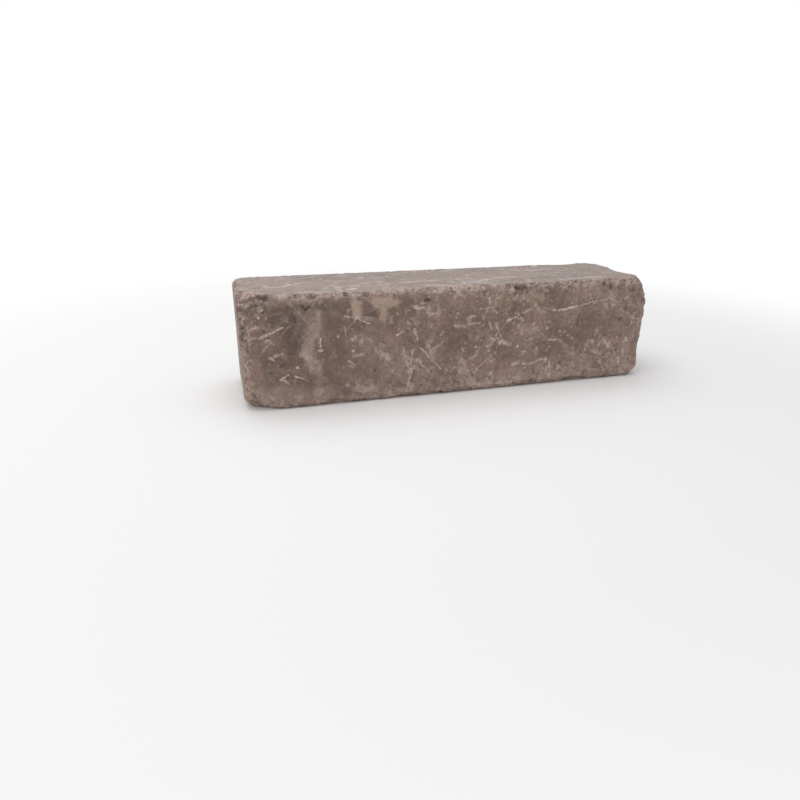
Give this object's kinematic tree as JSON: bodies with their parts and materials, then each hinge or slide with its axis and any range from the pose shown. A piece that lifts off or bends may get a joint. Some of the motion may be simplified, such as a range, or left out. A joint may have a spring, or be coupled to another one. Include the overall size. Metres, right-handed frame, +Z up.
{
  "type": "tumbled concrete wall block",
  "caption": "Long square-section concrete wall block with tumbled, chipped arrises and knocked-off corners, laid dry in courses for garden walls and edging.",
  "frame": {"origin": "middle of the underside, on the surface that the block lies on", "axes": "+X along the block from its left end to its right end, face side looking along -Y, +Z up"},
  "size_m": [0.588, 0.15, 0.15],
  "materials": {
    "concrete": "matt brown-taupe pressed concrete, scuffed, with rough chipped edges"
  },
  "bodies": {
    "root": {"wall_block": "concrete"}
  },
  "joints": []
}
